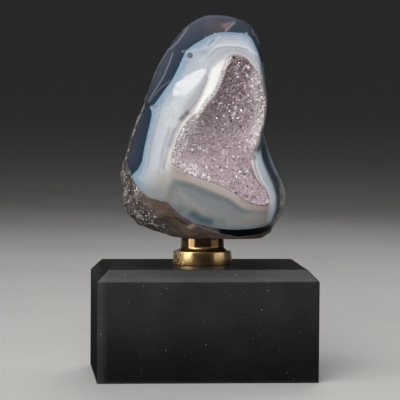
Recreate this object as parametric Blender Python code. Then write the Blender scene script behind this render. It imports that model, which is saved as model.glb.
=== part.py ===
"""Polished amethyst agate geode, carried by a turned brass mount on a black block base.

Units are metres. +Z is up, the origin is the middle of the block's underside, and the polished
face looks towards -Y. The stone's outlines are given in millimetres, as (across, up) pairs in the
stone's own upright plane: across from the mount's axis, up from the table.
"""
import math
import random

import bmesh
import bpy
from mathutils import Vector, geometry, noise

MM = 0.001
GAP = 0.3 * MM
SMOOTH_BELOW = math.radians(38)

# Base block
BASE_WIDTH = 93.7 * MM
BASE_DEPTH = 66.0 * MM
BASE_HEIGHT = 47.6 * MM
BASE_CHAMFER = 4.8 * MM
BASE_ARRIS = 0.4 * MM

# Brass mount
FLANGE_RADIUS = 12.7 * MM
FLANGE_HEIGHT = 5.8 * MM
NECK_RADIUS = 9.5 * MM
NECK_COVE = 2.2 * MM
COVE_STEPS = 4
MOUNT_HEIGHT = 11.2 * MM
MOUNT_ARRIS = 0.4 * MM
MOUNT_STEPS = 48

# Stone: how it stands and how deep it is
STONE_TURN = math.radians(-4.9)
SEAT_HEIGHT = BASE_HEIGHT + GAP + MOUNT_HEIGHT + GAP
STONE_MIDDLE = 100.0 * MM
FACE_DEPTH = 25.0 * MM
DOME_MIDDLE = 88.0 * MM
DOME_REACH = 65.0 * MM
LIP_WIDTH = 3.0 * MM
LIP_FALL = 7.0 * MM
HOLLOW_FLOOR = 11.0 * MM
BACK_DEPTH = 24.0 * MM
BACK_TAPER = 7.0 * MM
TAPER_FOOT = 110.0 * MM
TAPER_TOP = 150.0 * MM
HOLLOW_CENTRE = (9.0, 100.0)

# Hollow's rim and the stone's outline, clockwise from the top, matched point for point.
# The outline's lowest points lie under the seat, where the stone is ground flat.
RIM = [
    (10.5, 136.5), (14.0, 137.5), (17.5, 136.5), (20.5, 133.5), (23.0, 130.0), (24.5, 126.5),
    (26.0, 119.5), (26.0, 114.5), (25.5, 109.0), (24.0, 103.5), (22.5, 99.0), (20.5, 94.0),
    (21.5, 89.0), (23.5, 84.5), (26.5, 80.5), (28.0, 77.0), (27.0, 74.5), (23.5, 74.5),
    (19.0, 76.0), (12.0, 80.5), (6.0, 83.5), (0.0, 85.5), (-5.5, 87.5), (-9.5, 90.0),
    (-12.5, 92.0), (-13.0, 95.0), (-12.0, 98.5), (-10.0, 103.5), (-7.0, 109.0), (-2.5, 113.0),
    (1.0, 118.5), (4.5, 122.5), (6.5, 127.0), (8.5, 133.0),
]
OUTLINE = [
    (-0.5, 154.2), (7.5, 154.8), (14.2, 153.5), (20.0, 151.0), (24.0, 144.8), (25.3, 136.5),
    (27.2, 122.0), (27.4, 115.5), (26.6, 109.5), (26.0, 104.5), (27.5, 99.5), (30.2, 92.0),
    (33.7, 84.5), (35.5, 79.0), (35.6, 76.5), (35.0, 73.0), (32.5, 67.5), (28.0, 61.0),
    (20.5, 57.0), (10.0, 55.0), (-1.0, 56.0), (-15.5, 60.0), (-25.0, 63.3), (-31.6, 69.2),
    (-34.0, 76.5), (-34.7, 83.0), (-34.5, 89.0), (-32.5, 97.0), (-29.5, 107.0), (-26.5, 114.5),
    (-23.5, 123.0), (-20.4, 131.5), (-15.8, 139.8), (-8.8, 148.9),
]
BACK_CENTRE = (-2.0, 100.0)

# Stone's mesh
STEPS_PER_POINT = 2
HOLLOW_ROWS = 7
FACE_ROWS = 7
BACK_ROWS = 10
BACK_SOFTENING = 120
BACK_SOFT_SHARE = 3
FACE_CURVE = 1.8
HOLLOW_CURVE = 1.8
BACK_CURVE = 2.6

# Natural rind: lumps on the back and on the lower left of the front
RIND_LUMP = 1.5 * MM
RIND_SCALE = 14.0 * MM
RIND_LINE = [(-36.0, 92.0), (-30.0, 84.0), (-20.0, 75.0), (-12.0, 71.0), (0.0, 63.0), (10.0, 58.0)]
RIND_BLEND = 3.0 * MM

# Crystal crust
CRUST_EDGE = 0.97
CRUST_GAP = 0.4 * MM
CRUST_THICKNESS = 0.7 * MM
CRUST_LIP = 0.5 * MM
CRYSTAL_PITCH = 2.1 * MM
CRYSTAL_JITTER = 0.22
CRYSTAL_HEIGHT = (0.8 * MM, 1.8 * MM)
CRYSTAL_LEAN = 0.16
CRYSTAL_MARGIN = 0.95 * MM
CRYSTAL_SEED = 7
WELD_DISTANCE = 0.0001 * MM


def clear_scene():
    for obj in list(bpy.data.objects):
        bpy.data.objects.remove(obj)


def material(name, colour, roughness, metallic=0.0):
    mat = bpy.data.materials.new(name)
    mat.use_nodes = True
    shader = mat.node_tree.nodes["Principled BSDF"]
    shader.inputs["Base Color"].default_value = (*colour, 1.0)
    shader.inputs["Roughness"].default_value = roughness
    shader.inputs["Metallic"].default_value = metallic
    return mat


def add_object(name, points, faces, mat, smooth=False):
    mesh = bpy.data.meshes.new(name)
    mesh.from_pydata([tuple(p) for p in points], [], faces)
    bm = bmesh.new()
    bm.from_mesh(mesh)
    bmesh.ops.recalc_face_normals(bm, faces=bm.faces)
    bm.to_mesh(mesh)
    bm.free()
    mesh.materials.append(mat)
    obj = bpy.data.objects.new(name, mesh)
    bpy.context.scene.collection.objects.link(obj)
    if smooth:
        mesh.shade_smooth()
        mesh.set_sharp_from_angle(angle=SMOOTH_BELOW)
    return obj


def closed_curve(points, steps):
    """Smooth closed curve through points, with the given number of steps between each two."""
    count = len(points)
    corners = [Vector(p) * MM for p in points]
    curve = []
    for i in range(count):
        before, start, end, after = (corners[(i + k) % count] for k in (-1, 0, 1, 2))
        for step in range(steps):
            t = step / steps
            curve.append(0.5 * (2 * start + (end - before) * t
                                + (2 * before - 5 * start + 4 * end - after) * t ** 2
                                + (3 * start - before - 3 * end + after) * t ** 3))
    return curve


def softened(curve, rounds):
    """The closed curve with its hollows and corners evened out."""
    count = len(curve)
    for _ in range(rounds):
        curve = [(curve[i - 1] + curve[i] * 2 + curve[(i + 1) % count]) / 4 for i in range(count)]
    return curve


def ramp(value, low, high):
    t = min(max((value - low) / (high - low), 0.0), 1.0)
    return t * t * (3 - 2 * t)


def face_reach(rim_point, edge_point):
    """How far the domed face stands forward at the hollow's rim, less where the lip is narrow."""
    width = (edge_point - rim_point).length
    rise = (rim_point.y - DOME_MIDDLE) / DOME_REACH
    full = FACE_DEPTH * math.sqrt(1 - rise ** 2)
    return full * (1 - math.exp(-(width + LIP_WIDTH) / LIP_FALL))


def height_above_rind_line(across, up):
    for (x0, z0), (x1, z1) in zip(RIND_LINE, RIND_LINE[1:]):
        if x0 * MM <= across <= x1 * MM:
            t = (across / MM - x0) / (x1 - x0)
            return up - (z0 + (z1 - z0) * t) * MM
    return RIND_BLEND


def rind_amount(point):
    """1 on the natural rind, 0 on the polished stone."""
    behind = ramp(point.y, 0.0, RIND_BLEND)
    low = 1 - ramp(height_above_rind_line(point.x, point.z), -RIND_BLEND, 0.0)
    return max(behind, low)


def lumpy(point):
    """The point moved in or out by the rind's lumps and kept above the ground seat."""
    outward = (point - Vector((0.0, 0.0, STONE_MIDDLE))).normalized()
    lump = noise.noise(point / RIND_SCALE) * RIND_LUMP
    moved = point + outward * lump * rind_amount(point)
    moved.z = max(moved.z, SEAT_HEIGHT)
    return moved


class Stone:
    """The stone's curves and the rows of points that its surface runs through."""

    def __init__(self):
        self.rim = closed_curve(RIM, STEPS_PER_POINT)
        self.edge = closed_curve(OUTLINE, STEPS_PER_POINT)
        self.reach = [face_reach(r, e) for r, e in zip(self.rim, self.edge)]
        self.centre = Vector(HOLLOW_CENTRE) * MM
        self.back_centre = Vector(BACK_CENTRE) * MM
        self.soft_edge = softened(self.edge, BACK_SOFTENING)

    def hollow_depth(self, share, reach):
        return HOLLOW_FLOOR + (reach - HOLLOW_FLOOR) * share ** HOLLOW_CURVE

    def hollow_row(self, share, forward=0.0):
        row = []
        for rim_point, reach in zip(self.rim, self.reach):
            flat = self.centre.lerp(rim_point, share)
            row.append(Vector((flat.x, -self.hollow_depth(share, reach) - forward, flat.y)))
        return row

    def face_row(self, share):
        row = []
        for rim_point, edge_point, reach in zip(self.rim, self.edge, self.reach):
            flat = rim_point.lerp(edge_point, share)
            depth = reach * math.sqrt(1 - share ** FACE_CURVE)
            row.append(lumpy(Vector((flat.x, -depth, flat.y))))
        return row

    def back_row(self, share):
        row = []
        for edge_point, soft_point in zip(self.edge, self.soft_edge):
            flat = self.back_centre.lerp(soft_point.lerp(edge_point, share ** BACK_SOFT_SHARE), share)
            full = BACK_DEPTH - BACK_TAPER * ramp(flat.y, TAPER_FOOT, TAPER_TOP)
            depth = full * math.sqrt(1 - share ** BACK_CURVE)
            row.append(lumpy(Vector((flat.x, depth, flat.y))))
        return row

    def in_hollow(self, flat):
        """Share of the way from the hollow's centre to its rim, and the face's reach there."""
        count = len(self.rim)
        for i in range(count):
            a = self.rim[i] - self.centre
            b = self.rim[(i + 1) % count] - self.centre
            p = flat - self.centre
            area = a.x * b.y - a.y * b.x
            weight_a = (p.x * b.y - p.y * b.x) / area
            weight_b = (a.x * p.y - a.y * p.x) / area
            share = weight_a + weight_b
            if weight_a >= 0 and weight_b >= 0 and share > 0:
                reach = (weight_a * self.reach[i] + weight_b * self.reach[(i + 1) % count]) / share
                return share, reach
        return 0.0, self.reach[0]

    def crust_point(self, flat, thickness):
        share, reach = self.in_hollow(flat)
        return Vector((flat.x, -self.hollow_depth(share, reach) - CRUST_GAP - thickness, flat.y))


def join_rows(rows, first_pole=None, last_pole=None):
    """Points and faces of closed rows joined by quads, with a point closing each end."""
    count = len(rows[0])
    points = [p for row in rows for p in row]
    faces = []
    for r in range(len(rows) - 1):
        for i in range(count):
            j = (i + 1) % count
            faces.append((r * count + i, r * count + j, (r + 1) * count + j, (r + 1) * count + i))
    for pole, start in ((first_pole, 0), (last_pole, (len(rows) - 1) * count)):
        if pole is not None:
            points.append(pole)
            tip = len(points) - 1
            faces += [(start + i, start + (i + 1) % count, tip) for i in range(count)]
    return points, faces


def build_stone(stone, mat):
    rows = [stone.hollow_row(i / HOLLOW_ROWS) for i in range(1, HOLLOW_ROWS + 1)]
    rows += [stone.face_row(math.sin(math.pi / 2 * i / FACE_ROWS)) for i in range(1, FACE_ROWS + 1)]
    rows += [stone.back_row(math.cos(math.pi / 2 * i / BACK_ROWS)) for i in range(1, BACK_ROWS)]
    floor = Vector((stone.centre.x, -HOLLOW_FLOOR, stone.centre.y))
    back = lumpy(Vector((stone.back_centre.x, BACK_DEPTH, stone.back_centre.y)))
    points, faces = join_rows(rows, first_pole=floor, last_pole=back)
    return add_object("agate_stone", points, faces, mat, smooth=True)


def crystal_lattice(stone):
    """Jittered triangular lattice: crystal centres, and the low corners where three crystals meet."""
    rng = random.Random(CRYSTAL_SEED)
    row_step = CRYSTAL_PITCH * math.sqrt(3) / 2
    low = Vector((min(p.x for p in stone.rim), min(p.y for p in stone.rim)))
    high = Vector((max(p.x for p in stone.rim), max(p.y for p in stone.rim)))
    columns = int((high.x - low.x) / CRYSTAL_PITCH) + 2
    lines = int((high.y - low.y) / row_step) + 2
    centres = {}
    for j in range(lines):
        for i in range(columns):
            shift = 0.5 if j % 2 else 0.0
            jitter = Vector((rng.uniform(-1, 1), rng.uniform(-1, 1))) * CRYSTAL_JITTER
            flat = Vector((i + shift + jitter.x, jitter.y)) * CRYSTAL_PITCH
            centres[i, j] = low + flat + Vector((0.0, j * row_step))
    corners = []
    for i, j in centres:
        side = i + 1 if j % 2 else i
        for trio in (((i, j), (i + 1, j), (side, j + 1)), ((i, j), (side, j + 1), (side - 1, j + 1))):
            if all(key in centres for key in trio):
                corners.append(sum((centres[key] for key in trio), Vector((0.0, 0.0))) / 3)
    return list(centres.values()), corners


def clear_of_loop(flat, loop):
    """Whether a point lies inside a closed loop by at least the crystals' margin."""
    inside = False
    for a, b in zip(loop, loop[1:] + loop[:1]):
        _, share = geometry.intersect_point_line(flat, a, b)
        nearest = a.lerp(b, min(max(share, 0.0), 1.0))
        if (flat - nearest).length < CRYSTAL_MARGIN:
            return False
        if (a.y > flat.y) != (b.y > flat.y):
            if flat.x < a.x + (b.x - a.x) * (flat.y - a.y) / (b.y - a.y):
                inside = not inside
    return inside


def build_druse(stone, mat):
    """One closed crust: a smooth back along the hollow and a front of flat-faced crystal points."""
    shares = [i / HOLLOW_ROWS for i in range(1, HOLLOW_ROWS)] + [CRUST_EDGE]
    back_rows = [stone.hollow_row(share, forward=CRUST_GAP) for share in shares]
    floor = Vector((stone.centre.x, -HOLLOW_FLOOR - CRUST_GAP, stone.centre.y))
    points, faces = join_rows(back_rows, first_pole=floor)
    count = len(stone.rim)
    edge_start = (len(back_rows) - 1) * count

    rng = random.Random(CRYSTAL_SEED + 1)
    loop = [stone.centre.lerp(p, CRUST_EDGE) for p in stone.rim]
    centres, corners = crystal_lattice(stone)
    centres = [p for p in centres if clear_of_loop(p, loop)]
    corners = [p for p in corners if clear_of_loop(p, loop)]
    flats = loop + centres + corners
    ring = [(i, (i + 1) % count) for i in range(count)]
    flat_points, _, triangles, _, _, _ = geometry.delaunay_2d_cdt(flats, ring, [], 1, WELD_DISTANCE)

    front_start = len(points)
    for i, flat in enumerate(flat_points):
        if i < count:
            points.append(stone.crust_point(flat, CRUST_LIP))
        elif i < count + len(centres):
            lean = Vector((rng.uniform(-1, 1), rng.uniform(-1, 1))) * CRYSTAL_LEAN * CRYSTAL_PITCH
            tip = CRUST_THICKNESS + rng.uniform(*CRYSTAL_HEIGHT)
            points.append(stone.crust_point(flat + lean, tip))
        else:
            points.append(stone.crust_point(flat, CRUST_THICKNESS))
    faces += [tuple(front_start + k for k in triangle) for triangle in triangles]
    for i, j in ring:
        faces.append((edge_start + i, edge_start + j, front_start + j, front_start + i))
    return add_object("amethyst_druse", points, faces, mat)


def mount_profile():
    """The mount's half section from the axis at the bottom to the axis at the top."""
    profile = [(FLANGE_RADIUS - MOUNT_ARRIS, 0.0), (FLANGE_RADIUS, MOUNT_ARRIS),
               (FLANGE_RADIUS, FLANGE_HEIGHT - MOUNT_ARRIS), (FLANGE_RADIUS - MOUNT_ARRIS, FLANGE_HEIGHT)]
    cove_centre = (NECK_RADIUS + NECK_COVE, FLANGE_HEIGHT + NECK_COVE)
    for step in range(COVE_STEPS + 1):
        angle = math.pi / 2 * step / COVE_STEPS
        profile.append((cove_centre[0] - NECK_COVE * math.sin(angle),
                        cove_centre[1] - NECK_COVE * math.cos(angle)))
    profile += [(NECK_RADIUS, MOUNT_HEIGHT - MOUNT_ARRIS), (NECK_RADIUS - MOUNT_ARRIS, MOUNT_HEIGHT)]
    return profile


def build_mount(mat):
    rows = []
    for radius, height in mount_profile():
        angles = (2 * math.pi * i / MOUNT_STEPS for i in range(MOUNT_STEPS))
        rows.append([Vector((radius * math.cos(a), radius * math.sin(a), height)) for a in angles])
    points, faces = join_rows(rows, Vector((0.0, 0.0, 0.0)), Vector((0.0, 0.0, MOUNT_HEIGHT)))
    mount = add_object("brass_mount", points, faces, mat, smooth=True)
    mount.location.z = BASE_HEIGHT + GAP
    return mount


def build_base(mat):
    """A block whose four top edges carry a 45 degree chamfer, with its sharp arrises eased."""
    rows = []
    for inset, height in ((0.0, 0.0), (0.0, BASE_HEIGHT - BASE_CHAMFER), (BASE_CHAMFER, BASE_HEIGHT)):
        half_x = BASE_WIDTH / 2 - inset
        half_y = BASE_DEPTH / 2 - inset
        corners = ((-half_x, -half_y), (half_x, -half_y), (half_x, half_y), (-half_x, half_y))
        rows.append([Vector((x, y, height)) for x, y in corners])
    points, faces = join_rows(rows)
    faces += [(0, 1, 2, 3), (8, 9, 10, 11)]
    base = add_object("base_block", points, faces, mat)
    arris = base.modifiers.new("eased_arris", "BEVEL")
    arris.width = BASE_ARRIS
    arris.segments = 2
    arris.limit_method = "ANGLE"
    arris.angle_limit = SMOOTH_BELOW
    return base


def main():
    clear_scene()
    stone = Stone()
    stand = bpy.data.objects.new("stone_stand", None)
    stand.rotation_euler.z = STONE_TURN
    bpy.context.scene.collection.objects.link(stand)

    build_base(material("black_paint", (0.012, 0.012, 0.013), 0.45))
    build_mount(material("brass", (0.78, 0.56, 0.25), 0.25, metallic=1.0))
    agate = build_stone(stone, material("agate", (0.45, 0.50, 0.56), 0.15))
    druse = build_druse(stone, material("amethyst", (0.36, 0.27, 0.31), 0.3))
    for part in (agate, druse):
        part.parent = stand


main()
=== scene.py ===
import math

import bmesh
import bpy
import numpy as np
from mathutils import Matrix, Vector, noise


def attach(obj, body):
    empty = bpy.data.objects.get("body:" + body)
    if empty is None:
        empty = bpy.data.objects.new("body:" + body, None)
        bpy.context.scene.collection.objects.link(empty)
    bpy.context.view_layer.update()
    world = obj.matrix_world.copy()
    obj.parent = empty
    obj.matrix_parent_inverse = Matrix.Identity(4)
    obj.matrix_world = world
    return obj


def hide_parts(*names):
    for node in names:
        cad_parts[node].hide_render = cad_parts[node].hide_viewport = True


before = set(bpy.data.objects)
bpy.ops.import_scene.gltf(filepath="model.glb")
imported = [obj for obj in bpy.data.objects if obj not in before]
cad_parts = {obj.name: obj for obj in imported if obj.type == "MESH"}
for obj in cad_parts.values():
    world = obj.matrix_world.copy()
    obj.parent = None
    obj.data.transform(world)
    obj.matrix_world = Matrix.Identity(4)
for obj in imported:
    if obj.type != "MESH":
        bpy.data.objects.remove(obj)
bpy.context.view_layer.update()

# Looks of the polished amethyst agate geode on its brass mount and black block.
# Lengths are millimetres unless a name says otherwise; MM turns them into metres.
# The stone's curves are (across, up) pairs in its own upright plane, like the CAD part's.
MM = 0.001

# Camera
CAMERA_AIM = (-1.2, 0.0, 75.3)
CAMERA_DISTANCE = 1069.9
CAMERA_AZIMUTH = -4.87
CAMERA_ELEVATION = 3.29
CAMERA_ROLL = 0.38
CAMERA_LENS = 223.3

# Block
BASE_WIDTH = 93.7
BASE_DEPTH = 66.0
BASE_HEIGHT = 47.6
BASE_CHAMFER = 4.8
BASE_EASING = 0.55
BASE_CORNER = 0.7
CORNER_STEPS = 5
EASING_STEPS = 5

# Brass mount
GAP = 0.3
FLANGE_RADIUS = 12.7
FLANGE_HEIGHT = 5.8
NECK_RADIUS = 9.5
NECK_COVE = 2.2
MOUNT_HEIGHT = 11.2
MOUNT_ARRIS = 0.45
MOUNT_COLUMNS = 160
COVE_STEPS = 12
ARRIS_STEPS = 4
FLANGE_TOP = BASE_HEIGHT + GAP + FLANGE_HEIGHT
CREASE = math.radians(50)

# Stone
STONE_TURN = math.radians(-4.9)
SEAT_HEIGHT = BASE_HEIGHT + GAP + MOUNT_HEIGHT + GAP
STONE_MIDDLE = 100.0
FACE_DEPTH = 25.0
DOME_MIDDLE = 88.0
DOME_REACH = 65.0
LIP_WIDTH = 3.0
LIP_FALL = 7.0
LIP_ROUNDING = 0.35
HOLLOW_FLOOR = 11.0
BACK_DEPTH = 24.0
BACK_TAPER = 7.0
TAPER_FOOT = 110.0
TAPER_TOP = 150.0
FACE_CURVE = 1.8
HOLLOW_CURVE = 1.8
BACK_CURVE = 2.6
BACK_SOFTENING = 30
BACK_SOFT_SHARE = 3
HOLLOW_CENTRE = (9.0, 100.0)
BACK_CENTRE = (-2.0, 100.0)
RIM = [
    (10.5, 136.5), (14, 137.5), (17.5, 136.5), (20.5, 133.5), (23, 130), (24.5, 126.5),
    (26, 119.5), (26, 114.5), (25.5, 109), (24, 103.5), (22.5, 99), (20.5, 94),
    (21.5, 89), (23.5, 84.5), (26.5, 80.5), (28, 77), (27, 74.5), (23.5, 74.5),
    (19, 76), (12, 80.5), (6, 83.5), (0, 85.5), (-5.5, 87.5), (-9.5, 90),
    (-12.5, 92), (-13, 95), (-12, 98.5), (-10, 103.5), (-7, 109), (-2.5, 113),
    (1, 118.5), (4.5, 122.5), (6.5, 127), (8.5, 133),
]
OUTLINE = [
    (-0.5, 154.2), (7.5, 154.8), (14.2, 153.5), (20, 151), (24, 144.8), (25.3, 136.5),
    (27.2, 122), (27.4, 115.5), (26.6, 109.5), (26, 104.5), (27.5, 99.5), (30.2, 92),
    (33.7, 84.5), (35.5, 79), (35.6, 76.5), (35, 73), (32.5, 67.5), (28, 61),
    (20.5, 57), (10, 55), (-1, 56), (-15.5, 60), (-25, 63.3), (-31.6, 69.2),
    (-34, 76.5), (-34.7, 83), (-34.5, 89), (-32.5, 97), (-29.5, 107), (-26.5, 114.5),
    (-23.5, 123), (-20.4, 131.5), (-15.8, 139.8), (-8.8, 148.9),
]
STONE_STEPS = 14
HOLLOW_ROWS = 9
FACE_ROWS = 112
BACK_ROWS = 62

# Rind: the coarse lumps of the CAD part, and finer ones on top
RIND_LUMP = 1.5
RIND_SCALE = 14.0
LUMP_LINE = [(-36, 92), (-30, 84), (-20, 75), (-12, 71), (0, 63), (10, 58)]
LUMP_BLEND = 3.0
RIND_GRAIN = 0.55
RIND_GRAIN_SCALE = 3.2
RIND_OCTAVES = 5
ROUGH_LEFT = [(-28, 116), (-33, 100), (-36, 92), (-34, 80), (-29, 69), (-20, 62)]
ROUGH_RIGHT = [(36, 92), (37, 76), (31, 63)]

# Lines on the polished face
FLOOR_TOP = [
    (-13.1, 92), (-9.3, 89.9), (-4.2, 86.8), (1.3, 84.9), (6, 83.5), (11.9, 80.6),
    (17.5, 77.4), (21.3, 75.1), (27.9, 74.4),
]
FLOOR_RIGHT = [(28, 72.2), (28, 66.2)]
FLOOR_FOOT = [
    (25.7, 65.3), (20.6, 64.3), (12.9, 63.9), (5.3, 64.5), (0.4, 65.6), (-2.6, 66.2),
    (-6.5, 68.2), (-9.6, 70.2), (-14.7, 74.8),
]
FLOOR_LEFT = [(-16.3, 76.3), (-15.6, 78.1), (-15, 80.5), (-13.8, 83.3), (-13.8, 85.5), (-14.2, 88.5)]
TEAL_LINE = [
    (-16, 83.1), (-13, 84), (-8.8, 83.6), (-5.4, 83.2), (-1.2, 81.5), (2.6, 79.8),
    (6.4, 78.4), (10.3, 76.8), (12.8, 75.2), (15.4, 73.1), (17.9, 71.9), (20.9, 71.8), (27.7, 71.5),
]
EDGE_LINE = [
    (7.3, 147.4), (13.8, 147.3), (17.9, 146.7), (20.4, 144.5), (22.7, 139.9), (24.3, 135.3),
    (25.4, 130.6), (26.4, 125.1), (27.1, 118.7), (27.2, 112.1), (26.4, 106.5), (25.1, 101.7),
    (24.6, 97.5), (25.2, 93.9), (27, 88.6), (29.4, 83.5), (30.9, 79), (30.9, 75),
    (30.4, 70.3), (28.9, 67.2),
] + FLOOR_FOOT + [
    (-19, 76.4), (-23.5, 77.8), (-27.1, 81.1), (-30, 85.7), (-29.5, 87.1), (-27.6, 89.2),
    (-25.9, 92.8), (-24.9, 98.2), (-23.7, 104), (-22.4, 109.6), (-21.9, 113.3), (-22.9, 115.6),
    (-21, 116.6), (-19.8, 118), (-17.9, 120.7), (-16, 123.4), (-14.1, 126), (-12.1, 129.5),
    (-10.6, 132.6), (-8.3, 137.8), (-7.1, 139.7), (-4.3, 142), (-0.8, 144.1), (2.6, 146.1),
]
POLISHED_AREA = [
    (-33, 92.5), (-31.1, 88), (-30, 85.3), (-27.1, 80.8), (-23.5, 77.6), (-18.4, 76.2),
    (-15, 75.6), (-12.6, 73.1), (-9.6, 70.3), (-6.5, 68.3), (-2.8, 65.9), (2.8, 63.9), (9.9, 61.6),
    (16, 60.6), (25.4, 61.9), (29.3, 64.1), (31.9, 70.6), (32.8, 74.9), (32.7, 78.8),
    (32.8, 83), (33.3, 87), (34, 95), (36, 110), (40, 135), (50, 180),
    (-50, 180), (-45, 125),
]
VEIN_TOP = [
    (2.6, 136.9), (3.6, 138.4), (5.4, 140), (8.1, 141), (11.1, 141.2), (15, 141),
    (18.1, 139.9), (20.4, 137.8), (22.7, 135.1), (24.3, 132.8),
]
VEIN_BROAD = [(-8.6, 113), (-5.4, 117.8), (-2.2, 122.2), (0.2, 126.4), (1.6, 130.5)]
VEIN_EDGE = [(-9.4, 110.8), (-6.2, 114), (-3.3, 117.8), (-0.9, 121.6), (0.4, 125.1), (1.4, 128)]
VEIN_LOW = [(-9, 110.8), (-11.1, 107.1), (-12.6, 104.5), (-14.5, 99.3), (-15.8, 94), (-16.8, 89.8)]
VEIN_INNER = [(-3.3, 113), (-6.7, 109.5), (-9, 105.8), (-11.3, 100.5), (-12.7, 92.3)]
WHITE_RIM = RIM[-5:] + RIM[:1]
WHITE_AREA = [
    (10.3, 136.8), (6.3, 134.3), (3.4, 131.5), (1.9, 128.7), (1.3, 126.8), (0.4, 123.6),
    (-1, 120.4), (-2.3, 117.2), (-3.6, 113),
] + WHITE_RIM
# Facets on the dark band at the upper left; their areas are painted with a reflection tone and their edges
# with thin highlights.
FACET_UPPER = [(-14.6, 140.2), (-11.6, 142.7), (-9.3, 145.8), (-6.7, 149.6)]
FACET_LONG = [(-23.6, 118), (-19.7, 123.9), (-16.6, 129.2), (-14.7, 134), (-13.2, 138.4)]
FACET_LOW = [(-14.3, 126.8), (-18.4, 123.5), (-23.6, 117.1)]
FACET_SIDE = [(-6, 170), (-40, 170), (-40, 118)]
PIT = (-5.8, 137.5)
PIT_RADIUS = 1.15
GLARE = [
    (-12.8, 123.6), (-12.7, 120.3), (-8.6, 120.4), (-4.9, 122.9), (-1.8, 126.2), (1.3, 130.3),
    (1.1, 132), (-0.8, 132.1), (-3.4, 130.8), (-6.5, 128.2), (-11.5, 126.2), (-11.7, 123.9),
]
GLARE_DISTANCE = 1200.0
GLARE_STRENGTH = 5.6

# Druse
CRUST_LIFT = 0.25
CRUST_BODY = 0.9
CRUST_ROWS = 30
CRUST_EDGE = 0.985
CRUST_BUMP = 0.25
CRUST_BUMP_SCALE = 1.6
CRYSTAL_PITCH = 0.66
CRYSTAL_RADIUS = (0.27, 0.66)
CRYSTAL_POINTS = 13
CRYSTAL_SEED = 7
CRYSTAL_MARGIN = 0.2
CRYSTAL_JITTER = 0.35
CRYSTAL_TILT = 0.18
CRYSTAL_SINK = 0.45
CRYSTAL_SHAFT = (0.1, 0.7)
CRYSTAL_TIP = (0.5, 0.95)
CRYSTAL_SIDE = (0.86, 1.14)
FINE_SHARE = 2.4
BRIGHT_TONE = 0.955
BRIGHT_GROWTH = 1.15
EVENING_STEPS = 8
EVENING_RADIUS = 2.2
# Stretches of rim with pale crystals: the lower left one milky, the right one painted light.
PALE_RIMS = (RIM[22:29], RIM[5:10])
# Hollow's right rim, where the crystals are painted with shade.
LIP_SHADE_RIM = [(26.3, 107), (25, 102), (23, 98), (21.2, 94)]


def srgb(red, green, blue):
    """Linear colour from display values of 0 to 255."""
    def linear(value):
        value = value / 255
        return value / 12.92 if value <= 0.04045 else ((value + 0.055) / 1.055) ** 2.4
    return (linear(red), linear(green), linear(blue), 1.0)


def stops(*rows):
    """Colour stops, each from its position and display values."""
    return [(position, srgb(*colour)) for position, *colour in rows]


# Curves and fields

def closed_curve(points, steps):
    """Smooth closed curve through the points, the same one that the CAD part follows."""
    p = np.array(points, float)
    before, start, end, after = (np.roll(p, -k, axis=0)[:, None] for k in (-1, 0, 1, 2))
    t = (np.arange(steps) / steps)[None, :, None]
    curve = 0.5 * (2 * start + (end - before) * t + (2 * before - 5 * start + 4 * end - after) * t ** 2
                   + (3 * start - before - 3 * end + after) * t ** 3)
    return curve.reshape(-1, 2)


def softened(curve, rounds):
    for _ in range(rounds):
        curve = (np.roll(curve, 1, axis=0) + 2 * curve + np.roll(curve, -1, axis=0)) / 4
    return curve


def ramp(value, low, high):
    t = np.clip((value - low) / (high - low), 0.0, 1.0)
    return t * t * (3 - 2 * t)


def distance_to_line(flat, line, closed=False):
    """Distance of each point from a line through the given corners."""
    line = np.array(line, float)
    starts = line if closed else line[:-1]
    ends = np.roll(line, -1, axis=0) if closed else line[1:]
    best = np.full(len(flat), np.inf)
    for start, end in zip(starts, ends):
        along = end - start
        share = np.clip((flat - start) @ along / (along @ along), 0, 1)
        best = np.minimum(best, np.linalg.norm(flat - start - share[:, None] * along, axis=1))
    return best


def is_inside(flat, loop):
    loop = np.array(loop, float)
    x, z = flat.T
    result = np.zeros(len(flat), bool)
    for (x0, z0), (x1, z1) in zip(loop, np.roll(loop, -1, axis=0)):
        if z0 != z1:
            crossing = x0 + (x1 - x0) * (z - z0) / (z1 - z0)
            result ^= ((z0 > z) != (z1 > z)) & (x < crossing)
    return result


def depth_inside(flat, loop):
    """Distance from the loop, positive inside and negative outside."""
    distance = distance_to_line(flat, loop, closed=True)
    return np.where(is_inside(flat, loop), distance, -distance)


def turned(points):
    """Points in the stone's own frame, turned to how the stone stands."""
    c, s = math.cos(STONE_TURN), math.sin(STONE_TURN)
    return points @ np.array([[c, s, 0.0], [-s, c, 0.0], [0.0, 0.0, 1.0]])


def unit(vectors):
    return vectors / np.linalg.norm(vectors, axis=-1, keepdims=True)


# Meshes

def grid_faces(rows, columns, closed=True):
    """Quads between rows of points, as indices; each row is a closed ring if closed is true."""
    r, c = np.meshgrid(np.arange(rows - 1), np.arange(columns if closed else columns - 1), indexing="ij")
    n = (c + 1) % columns
    here, after = r * columns, (r + 1) * columns
    quads = np.stack([here + c, here + n, after + n, after + c], axis=-1)
    return quads.reshape(-1, 4).tolist()


def fan(ring, tip):
    return [(ring[i], ring[(i + 1) % len(ring)], tip) for i in range(len(ring))]


def closed_faces(count, columns):
    """Faces of a stack of closed rings, with the two points after them as its ends."""
    sides = grid_faces(count // columns, columns)
    return sides + fan(range(columns), count) + fan(range(count - columns, count), count + 1)


def capped_faces(count, columns):
    """Faces of a stack of closed rings, with a flat cap at each end."""
    caps = [tuple(range(columns)), tuple(range(count - columns, count))]
    return grid_faces(count // columns, columns) + caps


def mesh_object(name, points, faces, material, smooth=True):
    mesh = bpy.data.meshes.new(name)
    mesh.from_pydata((np.asarray(points) * MM).tolist(), [], faces)
    bm = bmesh.new()
    bm.from_mesh(mesh)
    bmesh.ops.recalc_face_normals(bm, faces=bm.faces)
    bm.to_mesh(mesh)
    bm.free()
    mesh.materials.append(material)
    obj = bpy.data.objects.new(name, mesh)
    bpy.context.scene.collection.objects.link(obj)
    if smooth:
        mesh.shade_smooth()
    return obj


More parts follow.
